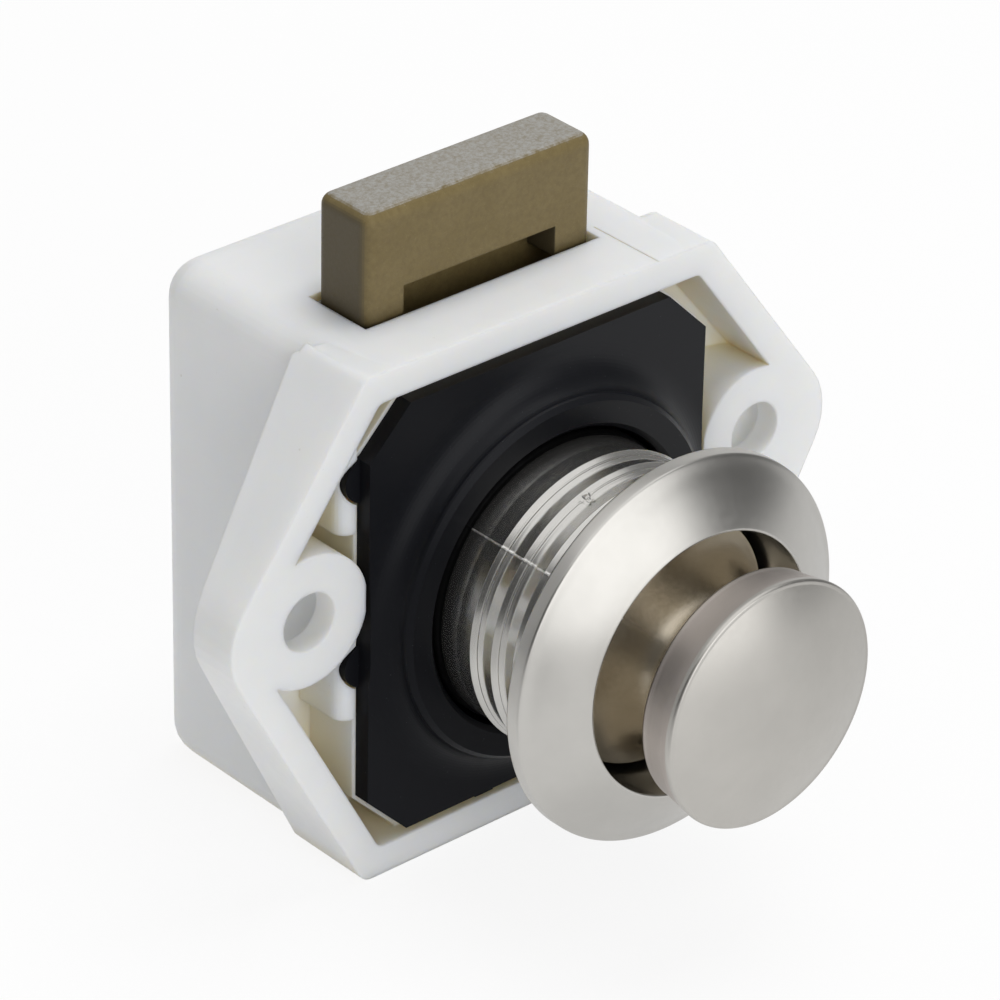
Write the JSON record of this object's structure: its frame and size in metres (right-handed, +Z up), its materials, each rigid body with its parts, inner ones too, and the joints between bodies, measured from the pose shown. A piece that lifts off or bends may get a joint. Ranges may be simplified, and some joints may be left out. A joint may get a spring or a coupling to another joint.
{
  "type": "push button cabinet lock",
  "caption": "Small furniture push button lock: hexagonal case with screw ears, flat sliding bolt, black cover plate, metal ring with ridged sleeve and a mushroom-shaped push button.",
  "frame": {"origin": "on the button's axis, in the plane of the case's front rim, which lies on the inside of the door", "axes": "+X to the right along the bolt's width, -Y to the front, the way the button comes out, +Z up, the way the bolt moves out"},
  "size_m": [0.0492, 0.0432, 0.0435],
  "materials": {
    "white_plastic": "moulded white plastic, slightly translucent, half gloss",
    "black_plastic": "moulded black plastic, half gloss",
    "satin_nickel": "die-cast, nickel plated, satin face and bright sleeve",
    "satin_nickel_button": "die-cast, nickel plated, satin cap and bright neck",
    "natural_plastic": "moulded plastic, natural colour, guessed",
    "zinc_steel": "zinc plated steel, guessed",
    "spring_steel": "bright spring wire, guessed",
    "olive_plastic": "moulded olive brown plastic, fine grain, half matt"
  },
  "bodies": {
    "case": {"housing": "white_plastic", "cover_plate": "black_plastic", "button_spring": "spring_steel"},
    "button": {"knob": "satin_nickel_button", "plunger": "natural_plastic", "plunger_screw": "zinc_steel", "screw_washer": "zinc_steel"},
    "bolt": {"bolt": "olive_plastic"},
    "catch": {"catch_wire": "spring_steel"},
    "ring": {"rosette": "satin_nickel"}
  },
  "joints": [
    {"name": "button_slide", "type": "slide", "parent": "case", "child": "button", "axis": [0, -1, 0], "range_m": [-0.0008, 0.0075], "deforming": ["button_spring"]},
    {"name": "bolt_slide", "type": "slide", "parent": "case", "child": "bolt", "axis": [0, 0, 1], "range_m": [-0.0075, 0.0008]},
    {"name": "catch_swing", "type": "hinge", "parent": "case", "child": "catch", "pos_m": [0, 0.0154, -0.0066], "axis": [0, 0, 1], "range_deg": [-2, 16]},
    {"name": "ring_adjust", "type": "slide", "parent": "case", "child": "ring", "axis": [0, -1, 0], "range_m": [0, 0.00585]}
  ],
  "couplings": [
    {"joint": "bolt_slide", "follows": "button_slide", "ratio": -1},
    {"joint": "catch_swing", "follows": "button_slide", "rad_per_m": 35.9}
  ]
}
